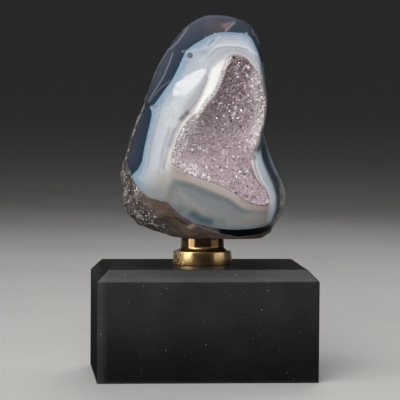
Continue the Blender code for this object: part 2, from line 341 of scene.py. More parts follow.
def give_fields(obj, **fields):
    """Numbers or vectors, one for each point, that the material reads by name."""
    for name, values in fields.items():
        kind, key = ("FLOAT", "value") if np.ndim(values) == 1 else ("FLOAT_VECTOR", "vector")
        layer = obj.data.attributes.new(name, kind, "POINT")
        layer.data.foreach_set(key, np.asarray(values, np.float32).ravel())


def stand_for(obj, node):
    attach(obj, "root")
    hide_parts(node)


# Materials

class Nodes:
    """Short calls for building the nodes of one material or world."""

    def __init__(self, name, kind="materials"):
        self.owner = getattr(bpy.data, kind).new(name)
        self.owner.use_nodes = True
        self.tree = self.owner.node_tree
        self.place = self.add("Attribute", attribute_name="place")["Vector"]
        self.x, self.y, self.z = self.split(self.place)

    def plug(self, value, socket):
        if isinstance(value, bpy.types.NodeSocket):
            self.tree.links.new(value, socket)
        else:
            socket.default_value = value

    def add(self, kind, inputs=(), **settings):
        """Outputs of a new shader node; its inputs are given by number or name."""
        node = self.tree.nodes.new("ShaderNode" + kind)
        for key, value in settings.items():
            setattr(node, key, value)
        for key, value in dict(inputs).items():
            self.plug(value, node.inputs[key])
        return node.outputs

    def surface(self, **values):
        """Sets the shader's sockets by name, with underscores for spaces."""
        for name, value in values.items():
            self.plug(value, self.tree.nodes["Principled BSDF"].inputs[name.replace("_", " ")])

    def field(self, name):
        return self.add("Attribute", attribute_name=name)["Fac"]

    def math(self, operation, a, b=0.0):
        return self.add("Math", {0: a, 1: b}, operation=operation)[0]

    def plus(self, a, b):
        return self.math("ADD", a, b)

    def times(self, a, b):
        return self.math("MULTIPLY", a, b)

    def length(self, a, b):
        return self.math("SQRT", self.plus(self.times(a, a), self.times(b, b)))

    def scaled(self, value, factor, offset=0.0):
        return self.add("Math", {0: value, 1: factor, 2: offset}, operation="MULTIPLY_ADD")[0]

    def step(self, value, low, high):
        """0 below low and 1 above high; with low above high, the other way round."""
        inputs = {0: value, 1: low, 2: high}
        return self.add("MapRange", inputs, interpolation_type="SMOOTHSTEP")[0]

    def mix(self, share, a, b, blend="MIX"):
        inputs = {0: share, 6: a, 7: b}
        return self.add("Mix", inputs, data_type="RGBA", blend_type=blend)[2]

    def tinted(self, colour, tint, value, low, high, share=1.0):
        """The colour, turned into the tint by the share as the value goes from low to high."""
        return self.mix(self.scaled(self.step(value, low, high), share), colour, tint)

    def shaded(self, colour, level):
        """The colour times a number."""
        grey = self.add("CombineColor", {0: level, 1: level, 2: level})[0]
        return self.mix(1.0, colour, grey, "MULTIPLY")

    def ramp(self, value, colours):
        node = self.tree.nodes.new("ShaderNodeValToRGB")
        elements = node.color_ramp.elements
        elements[0].position, elements[0].color = colours[0]
        elements[1].position, elements[1].color = colours[-1]
        for position, colour in colours[1:-1]:
            elements.new(position).color = colour
        self.plug(value, node.inputs[0])
        return node.outputs[0]

    def noise(self, scale, detail=2.0, roughness=0.5, distortion=0.0, over=None):
        """Noise over the piece, or over another vector."""
        vector = self.place if over is None else over
        return self.add("TexNoise", {"Vector": vector, "Scale": scale, "Detail": detail,
                                     "Roughness": roughness, "Distortion": distortion})[0]

    def wobble(self, scale, amount, detail=2.0):
        """Noise about zero."""
        return self.scaled(self.noise(scale, detail), 2 * amount, -amount)

    def specks(self, scale, share, radius):
        """Scattered round specks: share of the cells that hold one, and radius in cells."""
        cells = self.add("TexVoronoi", {"Vector": self.place, "Scale": scale})
        chosen = self.step(self.split(cells["Color"])[0], 1 - share, 1.001 - share)
        return self.times(chosen, self.step(cells["Distance"], radius, radius / 2))

    def split(self, vector):
        return self.add("SeparateXYZ", {0: vector})

    def vector(self, x, y, z=0.0):
        return self.add("CombineXYZ", {0: x, 1: y, 2: z})[0]

    def bump(self, height, distance, normal=None):
        inputs = {"Height": height, "Distance": distance * MM}
        if normal:
            inputs["Normal"] = normal
        return self.add("Bump", inputs)[0]


# Colours and patterns

BAND_STOPS = stops(
    (0.0, 194, 186, 188), (0.07, 204, 198, 196), (0.17, 198, 195, 196), (0.30, 183, 184, 189),
    (0.42, 188, 193, 198), (0.55, 188, 192, 197), (0.70, 178, 184, 190), (0.82, 168, 178, 187),
    (0.91, 146, 165, 181), (1.0, 132, 157, 177),
)
LAYER_STOPS = stops(
    (0.0, 136, 114, 108), (0.03, 174, 161, 155), (0.30, 166, 155, 150), (0.385, 146, 142, 138),
    (0.44, 118, 123, 122), (0.53, 109, 116, 118), (0.58, 124, 128, 132), (0.82, 143, 145, 144),
    (0.90, 140, 146, 148), (1.0, 122, 134, 140),
)
OUTER_STOPS = stops((0.0, 38, 53, 67), (0.12, 43, 57, 72), (0.4, 57, 62, 76), (0.75, 72, 76, 92),
                    (1.0, 78, 82, 98))
RIND_STOPS = stops((0.30, 74, 65, 61), (0.46, 118, 107, 102), (0.58, 130, 107, 92), (0.72, 118, 107, 102))
BLOTCH_STOPS = stops((0.4, 190, 176, 168), (0.6, 255, 255, 255))
GRAIN_STOPS = stops((0.42, 26, 24, 25), (0.50, 118, 107, 102), (0.57, 118, 112, 110), (0.64, 252, 250, 249))
CRUST_STOPS = stops((0.3, 146, 124, 131), (0.55, 180, 160, 167), (0.8, 212, 200, 204))
BRASS_STOPS = [(0.3, (0.66, 0.42, 0.17, 1.0)), (0.5, (0.77, 0.52, 0.25, 1.0)), (0.7, (0.84, 0.60, 0.31, 1.0))]
PAINT_STOPS = [(0.1, (0.008, 0.008, 0.0085, 1.0)), (0.45, (0.016, 0.016, 0.0165, 1.0))]

# Length of the stripes, and how many there are across the bands and the layers under the hollow
STRIPE_LENGTH = 26.0
FINE_LENGTH = 40.0
LAYER_LENGTH = 30.0
STRIPES = 30.0
FINE_STRIPES = 70.0

OUTER_WIDTH = 9.0
QUARTZ_IOR = 1.54
HIGH_TINT = srgb(108, 118, 152)
GLARE_PATCH_PAINTED = srgb(184, 185, 186)
WHITE_BAND = srgb(234, 233, 230)
# Painted shade at the foot of the dark band.
DEEP_PAINTED_SHADE = srgb(7, 9, 13)
FACET_PAINTED_REFLECTION = srgb(78, 87, 94)
# Painted light on the top of the dark band.
OUTER_TOP_PAINTED_LIGHT = srgb(72, 80, 88)
PIT_DARK = srgb(62, 58, 60)
PIT_CORE = srgb(120, 118, 118)
# Druse colours; the foot and top colours are painted light and painted shade.
DRUSE_FOOT_PAINTED_LIGHT = srgb(204, 187, 193)
DRUSE_TOP_PAINTED_SHADE = srgb(127, 107, 110)
DRUSE_LIT = srgb(240, 228, 232)
DRUSE_SHADE = srgb(104, 84, 92)
DRUSE_PALE = srgb(240, 232, 234)
DRUSE_WHITE = srgb(250, 247, 245)
DRUSE_GLINT = srgb(248, 236, 241)
DRUSE_SPARK = srgb(255, 250, 252)
DRUSE_LIP_PAINTED_SHADE = srgb(76, 86, 84)
DRUSE_DARK = srgb(58, 44, 50)
# Painted shade for the neck of the mount.
NECK_SHADE = (0.36, 0.21, 0.075, 1.0)
NECK_LEFT_PAINTED_SHADE = (0.11, 0.065, 0.03, 1.0)
NECK_RIGHT_PAINTED_SHADE = (0.06, 0.036, 0.018, 1.0)
DUST = srgb(160, 158, 154)
WORN_PAINT = srgb(70, 70, 72)

# Specks in the rind: scale, share of the cells, radius and colour
# The white specks are partly pale grains of the rind and partly painted sparkle.
RIND_SPECKS = [(0.7, 0.4, 0.42, srgb(20, 18, 19)), (0.8, 0.36, 0.44, srgb(255, 255, 255))]
# Dust on the block: scale and share of the cells
DUST_SPECKS = [(0.30, 0.65), (0.6, 0.30)]
DUST_RADIUS = 0.065

MARK_WAVE = 0.1
# Soft marks painted over the zones: display colour, then half width, strength and points of each line
MARKS = {
    "smoke": (
        (108, 106, 110), (1.5, 0.5, *VEIN_EDGE), (0.7, 0.66, *VEIN_EDGE), (2.2, 0.3, *VEIN_BROAD),
        (1.5, 0.52, *VEIN_LOW[:4]), (0.8, 0.42, *VEIN_LOW[2:]), (0.55, 0.4, *VEIN_INNER),
        (0.5, 0.32, *VEIN_TOP), (1.7, 0.85, (-6.2, 114), (-9.6, 110.6)),
        (0.45, 0.6, (24.3, 102), (23.1, 99), (21.3, 94.1), (22.2, 89.2), (24.1, 84.9), (27.1, 81)),
        (0.35, 0.35, (23.9, 97), (23.2, 94.2), (23.9, 90), (25.6, 86), (28.3, 81.6)),
        (0.7, 0.8, (2.1, 141.9), (4.4, 144.1)), (0.6, 0.25, (4.6, 143), (6.5, 144.6)),
        (0.8, 0.22, (-17.3, 118.3), (-18.6, 113.5), (-20.6, 106.6), (-22.2, 98.1), (-23.3, 90.6)),
        (0.8, 0.3, (-14.2, 106.6), (-16.1, 101.1), (-17.5, 95.5), (-18.6, 88)),
        (1.9, 0.18, (-1.5, 139.8), (0.9, 138.4)), (0.7, 0.15, (-9, 132), (-5.5, 137)),
        (0.45, 0.3, (13.5, 140), (18.5, 137.9), (21.7, 134.6), (24.3, 130)),
        (0.45, 0.22, (15.5, 142.3), (20.3, 139.8), (23.3, 135.7)),
    ),
    "ink": (
        (40, 38, 40), (0.45, 0.6, (-23.3, 116.2), (-19.7, 116)), (1.4, 0.52, (-6.8, 113.4), (-9, 111.1)),
    ),
    "pale": (
        (222, 226, 230),
        (0.8, 0.22, (-7.7, 139), (-4.2, 139.6), (-1.3, 140.2), (1.5, 141.1), (3.8, 142.6), (5.4, 144.2),
         (6.5, 145.4)),
        (0.35, 0.35, (-9.2, 139.1), (-8.4, 139.2)), (0.35, 0.3, (0.4, 145.5), (0.8, 145.1)),
        (0.35, 0.35, (4.5, 147.2), (4.8, 146.6)), (0.4, 0.4, (17.9, 147.4), (18.5, 146.7)),
        (0.45, 0.35, (-15.2, 115.4), (-14.3, 114.5)), (0.35, 0.35, (-12.9, 115.6), (-12, 115.2)),
        # Painted highlights along the facets' edges.
        (0.35, 0.28, *FACET_UPPER), (0.3, 0.26, *FACET_LONG), (0.3, 0.14, *FACET_LOW),
        (0.35, 0.25, (20.5, 148.7), (21.6, 146.3)), (0.35, 0.18, (22.2, 146.3), (23.6, 142.4)),
        (0.7, 0.75, (25.4, 135), (27, 125), (27.3, 116), (26.4, 108)),
        (0.4, 0.55, (22.6, 97), (22.2, 94.2), (23, 89.6), (24.9, 85.3), (27.7, 81.2)),
        (0.6, 0.5, (5.3, 141.4), (9, 142), (14.3, 142.2), (18.6, 141), (22.3, 138)),
        (0.35, 0.35, (9.3, 147.9), (13.2, 151.9)),
        (0.4, 0.2, (-15, 140.5), (-20, 132), (-23.3, 123.5), (-26.3, 115)),
        (0.6, 0.3, (-27, 113.5), (-29.8, 106.5), (-32.6, 97.5)),
    ),
    "straw": (
        (168, 164, 142), (3.2, 0.8, (-16.6, 86.4), (-15.8, 84.4)),
        (0.9, 0.35, (-9.8, 80.1), (-7.4, 77.7), (-4.7, 75.3), (0, 71.6)),
        (1.3, 0.15, (-12.7, 83.8), (-9.4, 80.5), (-6.6, 75.8), (-5.2, 72)),
    ),
    "tan": (
        (134, 120, 112), (2.0, 0.6, (17, 76.9), (22, 74), (27.4, 73)),
        (2.2, 0.35, (-11.5, 89.5), (-7.5, 87)),
    ),
    "ash": (
        (146, 141, 137), (6.5, 0.8, (-21, 79.6), (-17.5, 81)), (3.6, 0.8, (19, 69.2), (27, 69)),
    ),
    # Painted shade: a dark green-grey line along the hollow's right lip.
    "moss": ((56, 68, 68), (1.8, 1.0, (25.9, 105.5), (25, 101.5), (23.6, 98.2), (22, 95))),
    "teal": (
        (56, 78, 88), (2.8, 0.8, (-4.5, 70.3), (-1, 68.5), (3, 67.2)),
        (2.6, 0.3, (-9.5, 73.6), (-5, 71)), (2.2, 0.25, (2, 69.2), (9, 67)),
    ),
    "plum": (
        (112, 92, 92), (0.35, 0.45, *FLOOR_TOP), (2.6, 0.6, (7.5, 150.6), (9.6, 150.2)),
        (4.6, 0.35, (3, 150.8), (8, 150.2)),
    ),
    "slate": ((122, 121, 120), (2.8, 0.65, (-14.4, 77.2), (-12.8, 82))),
    "frost": (
        (188, 204, 214), (1.6, 1.0, (26.6, 104.5), (28.2, 98.5), (29.9, 93), (32, 88), (33.2, 86)),
    ),
    # A pale line along the top edge: a painted highlight.
    "top_edge_painted_highlight": (
        (108, 118, 132),
        (1.4, 0.55, (-8.8, 148.9), (-5, 152), (-0.5, 154.2), (7.5, 154.8), (14.2, 153.5)),
    ),
    "rose": (
        (146, 130, 130), (1.3, 0.5, (8.8, 150.4), (12.2, 151.5)), (1.0, 0.45, (9.2, 148.8), (10.4, 150)),
    ),
    "umber": ((118, 92, 74), (4.4, 0.6, (-18.6, 73.6), (-12.5, 70.6))),
    "gold": (
        (158, 128, 100),
        (0.35, 0.4, (-30.4, 86), (-27.2, 80.9), (-23.4, 77.5), (-18.4, 76.1), (-15.2, 75.2)),
    ),
    "sky": (
        (188, 197, 208),
        (1.8, 0.7, (22.8, 96), (25, 90), (28.5, 83), (30, 78), (30, 73), (28.6, 68)),
        (1.3, 0.3, (3, 141.9), (8, 143.2), (14, 143.4), (18.5, 142)),
    ),
    "sage": (
        (186, 190, 186), (2.6, 0.9, (34.3, 84), (35.8, 79), (35, 72), (31, 65)),
        (0.9, 0.5, (26.5, 104), (28.3, 98.5), (30, 93.4), (32.6, 88.2), (34.3, 84)),
    ),
    "glint": ((255, 216, 180), (1.15, 0.95, (-5.3, 64.9), (-4, 65.2))),
    "film": ((122, 108, 99), (1.8, 0.7, (-8, 64.4), (-2, 64.6), (5.5, 62.8))),
}
RIND_MARKS = ("umber", "gold", "sage", "film", "glint")
DULL_SPOT = [(7.5, 1.0, (-16.5, 112), (-10, 111.5))]


def light_zone(n):
    """The pale banded agate between the hollow and the dark outer band."""
    band = n.plus(n.field("band"), n.wobble(0.12, 0.05, 4.0))
    across = n.vector(n.times(band, STRIPES), *(n.times(v, 1 / STRIPE_LENGTH) for v in (n.x, n.z)))
    colour = n.shaded(n.ramp(band, BAND_STOPS), n.scaled(n.noise(1.0, 4.0, 0.65, over=across), 0.50, 0.75))
    colour = n.shaded(colour, n.scaled(n.noise(0.22, 5.0, 0.6, 0.6), 0.34, 0.775))
    colour = n.tinted(colour, HIGH_TINT, n.z, 128.0, 140.0, 0.19)
    fine = n.vector(n.times(band, FINE_STRIPES), n.times(n.z, 1 / FINE_LENGTH))
    colour = n.shaded(colour, n.scaled(n.noise(1.0, over=fine), 0.24, 0.90))
    # Painted reflection: in the outline of the window's reflection the stripes give way to a flat pale grey.
    colour = n.tinted(colour, GLARE_PATCH_PAINTED, n.field("glare_patch_painted"), -0.3, 0.5, 0.85)
    white = n.step(n.plus(n.field("white"), n.wobble(0.8, 0.9, 4.0)), -1.2, 0.9)
    white = n.times(white, n.scaled(n.step(n.z, 138.0, 132.0), 0.3, 0.7))
    streaks = n.scaled(n.noise(1.6, 3.0, 0.6, over=across), 0.2, 0.88)
    return n.mix(white, colour, n.shaded(WHITE_BAND, streaks))


def floor_zone(n):
    """The flat layers under the hollow."""
    layer = n.plus(n.scaled(n.field("layer"), 0.5), n.wobble(0.2, 0.02, 3.0))
    along = n.vector(n.times(layer, STRIPES), n.times(n.x, 1 / LAYER_LENGTH))
    return n.shaded(n.ramp(layer, LAYER_STOPS), n.scaled(n.noise(1.0, 3.0, 0.6, over=along), 0.24, 0.87))


def dark_zone(n, light):
    """The dark translucent band outside the pale agate."""
    outward = n.plus(n.times(light, -1.0 / OUTER_WIDTH), n.wobble(0.15, 0.12, 3.0))
    # Painted shade: the band is painted nearly black towards the foot of the stone.
    colour = n.tinted(n.ramp(outward, OUTER_STOPS), DEEP_PAINTED_SHADE, n.z, 76.0, 66.0)
    # Painted reflection: the flat polished facets at the upper left are painted lighter.
    colour = n.tinted(colour, FACET_PAINTED_REFLECTION, n.field("facet_painted_reflection"), -0.15, 0.2, 0.26)
    # Painted light: the band is painted lighter towards the top of the stone.
    return n.tinted(colour, OUTER_TOP_PAINTED_LIGHT, n.z, 132.0, 152.0, 0.3)


def rind_zone(n):
    """The natural outside of the stone: brown and smooth in places, grey and granular in others."""
    colour = n.ramp(n.noise(0.2, 6.0, 0.65, 0.4), RIND_STOPS)
    blotches = n.ramp(n.noise(0.05, 4.0, 0.6, 0.6), BLOTCH_STOPS)
    colour = n.mix(1.0, colour, blotches, "MULTIPLY")
    level = n.plus(n.noise(1.7, 4.0, 0.75), n.wobble(0.35, 0.24, 3.0))
    patches = n.step(n.noise(0.16, 3.0), 0.34, 0.56)
    share = n.times(n.field("granular"), n.scaled(patches, 0.6, 0.4))
    # The whitest grains and the white specks are partly pale grains and partly painted sparkle.
    colour = n.mix(n.scaled(share, 0.9, 0.08), colour, n.ramp(level, GRAIN_STOPS))
    crisp = n.step(share, 0.15, 0.5)
    for scale, cells, radius, speck in RIND_SPECKS:
        colour = n.mix(n.times(n.specks(scale, cells, radius), crisp), colour, speck)
    return colour


def pitted(n, colour):
    """A small round pit with a grey core, high on the left."""
    reach = n.length(n.plus(n.x, -PIT[0]), n.plus(n.z, -PIT[1]))
    reach = n.plus(reach, n.times(n.step(n.y, -1.0, 0.0), 9.0))
    colour = n.tinted(colour, PIT_DARK, reach, PIT_RADIUS + 0.2, PIT_RADIUS - 0.2, 0.85)
    return n.tinted(colour, PIT_CORE, reach, 0.65, 0.35)


def marked(n, colour, names):
    for name in names:
        colour = n.mix(n.field(name), colour, srgb(*MARKS[name][0]))
    return colour


def agate_material():
    n = Nodes("agate")
    light = n.plus(n.field("light_depth"), n.wobble(0.35, 0.14, 4.0))
    rind = n.plus(n.field("rind_depth"), n.wobble(0.4, 0.5, 5.0))
    floor = n.plus(n.field("floor_depth"), n.wobble(0.4, 0.3))
    is_rind = n.step(rind, -0.2, 0.3)
    colour = n.mix(n.step(light, -0.2, 0.2), dark_zone(n, light), light_zone(n))
    colour = n.mix(n.step(floor, -1.0, 1.0), colour, floor_zone(n))
    colour = marked(n, colour, [name for name in MARKS if name not in RIND_MARKS])
    colour = n.mix(is_rind, pitted(n, colour), rind_zone(n))
    colour = marked(n, colour, RIND_MARKS)
    rough = n.times(is_rind, n.scaled(n.noise(0.9, 5.0, 0.7), 0.4, 0.28))
    polish = n.plus(n.scaled(n.noise(0.25, 3.0), 0.02, 0.005), n.times(n.field("dull"), 0.4))
    grain = n.times(n.noise(1.6, 6.0, 0.75), is_rind)
    n.surface(Base_Color=colour, Roughness=n.math("MAXIMUM", rough, polish), IOR=QUARTZ_IOR,
              Normal=n.bump(grain, 1.2))
    return n.owner


def druse_material():
    n = Nodes("amethyst")
    tone = n.field("tone")
    white_edge = n.field("white_edge")
    # Painted light and shade: the crystals are painted darker towards the hollow's top and lighter towards
    # its foot.
    colour = n.mix(n.step(n.z, 84.0, 132.0), DRUSE_FOOT_PAINTED_LIGHT, DRUSE_TOP_PAINTED_SHADE)
    colour = n.shaded(colour, n.scaled(n.noise(0.12, 3.0), 0.4, 0.8))
    colour = n.tinted(colour, DRUSE_LIT, tone, 0.5, 0.95, 0.28)
    shadow = n.times(n.step(tone, 0.30, 0.0), n.scaled(n.step(n.z, 108.0, 88.0), 0.3, 0.30))
    colour = n.mix(shadow, colour, DRUSE_SHADE)
    # Crystals along the lower left rim are milky pale; along the right rim the same paling is painted light.
    pale = n.times(n.step(n.field("pale_edge"), 8.5, 1.5), n.scaled(n.step(tone, 0.3, 0.6), 0.4, 0.6))
    colour = n.mix(pale, colour, DRUSE_PALE)
    colour = n.tinted(colour, DRUSE_WHITE, white_edge, 1.9, 0.9, 0.95)
    colour = n.tinted(colour, DRUSE_GLINT, tone, 0.90, 0.905, 0.45)
    colour = n.tinted(colour, DRUSE_SPARK, tone, BRIGHT_TONE, BRIGHT_TONE + 0.005)
    # Painted shade: crystals by the hollow's right lip are darkened green-grey.
    colour = n.tinted(colour, DRUSE_LIP_PAINTED_SHADE, n.field("moss_edge"), 1.8, 0.5, 0.85)
    dark = n.times(n.step(tone, 0.03, 0.025), n.scaled(n.step(n.z, 92.0, 122.0), 0.45, 0.3))
    colour = n.mix(n.times(dark, n.step(white_edge, 1.0, 2.0)), colour, DRUSE_DARK)
    n.surface(Base_Color=colour, Roughness=n.scaled(n.noise(1.4, 3.0), 0.08, 0.03),
              IOR=QUARTZ_IOR, Transmission_Weight=0.25)
    return n.owner


def crust_material():
    n = Nodes("amethyst_crust")
    n.surface(Base_Color=n.ramp(n.noise(0.5, 5.0, 0.6), CRUST_STOPS), Roughness=0.45,
              IOR=QUARTZ_IOR, Normal=n.bump(n.noise(3.0, 4.0), 0.25))
    return n.owner


def brass_material():
    n = Nodes("brass")
    rings = n.noise(5.0, 4.0, 0.7, over=n.vector(n.length(n.x, n.y), n.z))
    mottle = n.noise(0.3, 3.0, 0.5)
    colour = n.ramp(mottle, BRASS_STOPS)
    # Painted shade on the neck: darker all round under the stone, and darker still over the right half of its
    # left highlight and over its right side, so that the highlights there are narrow and dim.
    neck = n.step(n.z, FLANGE_TOP + 0.3, FLANGE_TOP + 2.5)
    left = n.times(n.step(n.x, -6.7, -5.4), n.step(n.x, -1.0, -3.5))
    right = n.step(n.x, 0.5, 4.0)
    shades = ((0.55, NECK_SHADE), (n.times(left, 0.65), NECK_LEFT_PAINTED_SHADE), (n.times(right, 0.9), NECK_RIGHT_PAINTED_SHADE))
    for share, shade in shades:
        colour = n.mix(n.times(neck, share), colour, shade)
    pits = n.times(n.noise(1.7, 2.0), n.step(n.x, -8.3, -9.6))
    n.surface(Base_Color=colour, Metallic=1.0, Anisotropic=0.15, Anisotropic_Rotation=0.25,
              Roughness=n.plus(n.scaled(mottle, -0.10, 0.31), n.times(neck, -0.1)),
              Normal=n.bump(pits, 0.6, n.bump(rings, 0.012)),
              Tangent=n.add("Tangent", direction_type="RADIAL", axis="Z")[0])
    return n.owner


def paint_material():
    n = Nodes("black_paint")
    grain = n.noise(1.6, 4.0, 0.65, over=n.vector(n.times(n.x, 0.06), n.times(n.y, 0.06), n.z))
    cloud = n.noise(0.06, 4.0, 0.6)
    colour = n.ramp(n.times(grain, cloud), PAINT_STOPS)
    for scale, share in DUST_SPECKS:
        colour = n.mix(n.specks(scale, share, DUST_RADIUS), colour, DUST)
    shoulder = BASE_HEIGHT - BASE_CHAMFER
    # Painted light and shade: the block is darker towards its bottom and over its chamfer and top, and
    # lighter at its left end.
    shade = n.scaled(n.step(n.z, 0.0, shoulder), 1.15, 0.55)
    shade = n.plus(shade, n.times(n.step(n.z, shoulder, BASE_HEIGHT - 2.0), -0.9))
    shade = n.plus(shade, n.times(n.step(n.x, -42.0, -45.5), 1.4))
    worn = n.times(n.field("arris"), n.step(n.noise(0.5, 4.0, 0.7), 0.42, 0.62))
    colour = n.mix(n.times(worn, 0.3), n.shaded(colour, shade), WORN_PAINT)
    height = n.plus(n.times(grain, 0.6), n.noise(0.8, 3.0))
    n.surface(Base_Color=colour, Roughness=n.scaled(cloud, 0.2, 0.33), Specular_IOR_Level=0.4,
              Normal=n.bump(height, 0.05))
    return n.owner


# Stone

class Stone:
    """The stone's curves and the rows of points that its surface runs through."""

    def __init__(self):
        self.rim = closed_curve(RIM, STONE_STEPS)
        self.edge = closed_curve(OUTLINE, STONE_STEPS)
        self.width = np.linalg.norm(self.edge - self.rim, axis=1)
        rise = (self.rim[:, 1] - DOME_MIDDLE) / DOME_REACH
        lip = 1 - np.exp(-(self.width + LIP_WIDTH) / LIP_FALL)
        self.reach = FACE_DEPTH * np.sqrt(1 - rise ** 2) * lip
        self.centre = np.array(HOLLOW_CENTRE)
        self.back_centre = np.array(BACK_CENTRE)
        self.soft_edge = softened(self.edge, BACK_SOFTENING * STONE_STEPS ** 2)

    @staticmethod
    def row(flat, y):
        return np.stack([flat[:, 0], np.broadcast_to(y, len(flat)), flat[:, 1]], axis=1)

    @staticmethod
    def rounding(from_lip):
        return LIP_ROUNDING * np.exp(-(from_lip / LIP_ROUNDING) ** 2)

    def hollow_row(self, share, forward=0.0):
        flat = self.centre + (self.rim - self.centre) * share
        depth = HOLLOW_FLOOR + (self.reach - HOLLOW_FLOOR) * share ** HOLLOW_CURVE
        from_lip = np.linalg.norm(self.rim - self.centre, axis=1) * (1 - share)
        return self.row(flat, self.rounding(from_lip) - depth - forward)

    def face_row(self, share):
        flat = self.rim + (self.edge - self.rim) * share
        depth = self.reach * math.sqrt(1 - share ** FACE_CURVE)
        return self.row(flat, self.rounding(self.width * share) - depth)

    def back_row(self, share):
        loop = self.soft_edge + (self.edge - self.soft_edge) * share ** BACK_SOFT_SHARE
        flat = self.back_centre + (loop - self.back_centre) * share
        full = BACK_DEPTH - BACK_TAPER * ramp(flat[:, 1], TAPER_FOOT, TAPER_TOP)
        return self.row(flat, full * math.sqrt(1 - share ** BACK_CURVE))

    def in_hollow(self, flat):
        """For each point: share of the way from the hollow's centre to its rim, and the reach there."""
        share = np.full(len(flat), 2.0)
        reach = np.full(len(flat), self.reach.mean())
        x, z = (flat - self.centre).T
        loop = self.rim - self.centre
        for i, (ax, az) in enumerate(loop):
            j = (i + 1) % len(loop)
            bx, bz = loop[j]
            area = ax * bz - az * bx
            weight_a = (x * bz - z * bx) / area
            weight_b = (ax * z - az * x) / area
            total = weight_a + weight_b
            hit = (weight_a >= 0) & (weight_b >= 0) & (total > 0)
            share[hit] = total[hit]
            reach[hit] = (weight_a * self.reach[i] + weight_b * self.reach[j])[hit] / total[hit]
        return share, reach

    def hollow_depth(self, flat):
        """The hollow's depth with the creases towards its corners evened out."""
        total = np.zeros(len(flat))
        for k in range(EVENING_STEPS):
            angle = 2 * math.pi * k / EVENING_STEPS
            offset = np.array((math.cos(angle), math.sin(angle))) * EVENING_RADIUS
            share, reach = self.in_hollow(flat + offset)
            total += HOLLOW_FLOOR + (reach - HOLLOW_FLOOR) * np.minimum(share, 1.0) ** HOLLOW_CURVE
        return total / EVENING_STEPS


def lump_amount(points):
    """1 where the CAD part's coarse rind lumps act, 0 on the polished stone."""
    x, y, z = points.T
    line = np.array(LUMP_LINE)
    above = z - np.interp(x, line[:, 0], line[:, 1])
    outside = (x < line[0, 0]) | (x > line[-1, 0])
    above = np.where(outside, LUMP_BLEND, above)
    return np.maximum(ramp(y, 0.0, LUMP_BLEND), 1 - ramp(above, -LUMP_BLEND, 0.0))


def pushed_out(points, heights):
    moved = points + unit(points - (0.0, 0.0, STONE_MIDDLE)) * heights[:, None]
    moved[:, 2] = np.maximum(moved[:, 2], SEAT_HEIGHT)
    return moved


def noise_at(points, scale, amount, octaves=0):
    """Noise at the points where the amount isn't zero, times that amount."""
    values = np.zeros(len(points))
    for i in np.nonzero(amount)[0]:
        p = points[i] / scale
        values[i] = noise.fractal(p, 0.75, 2.1, octaves) if octaves else noise.noise(p)
    return values * amount


def mark_share(flat, lines):
    """How strongly a group of soft marks covers each point."""
    share = np.zeros(len(flat))
    x, z = flat.T
    wave = np.stack([np.sin(z / 1.9 + x / 3.1), np.sin(x / 2.3 - z / 2.9)], axis=1)
    for half_width, strength, *line in lines:
        distance = distance_to_line(flat + wave * half_width * MARK_WAVE, line)
        share = np.maximum(share, strength * np.exp(-2 * (distance / half_width) ** 2))
    return share


def layer_share(flat):
    """How far down the floor a point lies: 0 at its top, 1 at the teal line and 2 at its foot."""
    top, teal, foot = (distance_to_line(flat, line) for line in (FLOOR_TOP, TEAL_LINE, FLOOR_FOOT))
    upper = flat[:, 1] > np.interp(flat[:, 0], *np.array(TEAL_LINE).T)
    return np.where(upper, top / (top + teal), 1 + teal / (teal + foot))


def rind_start(x, z):
    """How far behind the middle plane the rind starts; its edge wanders on the right and at the top."""
    right = ramp(x, 0.0, 12.0)
    start = np.where(x < 0, 1.0 - 7.5 * ramp(z, 123.0, 114.0), 1.0)
    start = start + 1.6 * (1 + np.sin(z / 9.0 + x / 14.0)) * right
    return start + 1.3 * (1 + np.sin(z / 2.6) * np.sin(z / 7.1)) * np.maximum(ramp(z, 118.0, 126.0), right)


def stone_fields(points):
    """Signed distances and shares that say where each zone of the stone lies, in millimetres."""
    flat = points[:, [0, 2]]
    x, y, z = points.T
    front = y < 0
    light = np.where(front, depth_inside(flat, closed_curve(EDGE_LINE, 4)), -OUTER_WIDTH)
    from_rim = distance_to_line(flat, closed_curve(RIM, 4), closed=True)
    softness = 0.25 + 2.0 * ramp(x, -7.0, -13.0) + 0.9 * ramp(x, 24.0, 27.5)
    floor = depth_inside(flat, FLOOR_TOP + FLOOR_RIGHT + FLOOR_FOOT + FLOOR_LEFT) / softness
    rind = y - rind_start(x, z)
    facets = [depth_inside(flat, line + FACET_SIDE) for line in (FACET_LONG + FACET_UPPER[-1:], FACET_UPPER)]
    rough_side = np.minimum(distance_to_line(flat, ROUGH_LEFT), distance_to_line(flat, ROUGH_RIGHT))
    rough_back = 0.5 + 0.4 * np.sin(x / 8.0 + z / 21.0) * np.sin(z / 12.0 + 0.7)
    fields = {
        "light_depth": light,
        "band": np.where(front, from_rim / (from_rim + np.maximum(light, 0.0) + 0.01), 1.0),
        "floor_depth": np.where(front, floor, -OUTER_WIDTH),
        "layer": layer_share(flat),
        "rind_depth": np.where(front, np.maximum(rind, -depth_inside(flat, POLISHED_AREA)), rind),
        "white": depth_inside(flat, WHITE_AREA),
        "facet_painted_reflection": np.maximum(*facets),
        "glare_patch_painted": np.where(front, depth_inside(flat, GLARE), -OUTER_WIDTH),
        "granular": np.where(front, ramp(rough_side, 9.0, 3.0), rough_back),
        "dull": np.where(front, mark_share(flat, DULL_SPOT), 0.0),
    }
    for name, (_, *lines) in MARKS.items():
        fields[name] = np.where(front, mark_share(flat, lines), 0.0)
    return fields


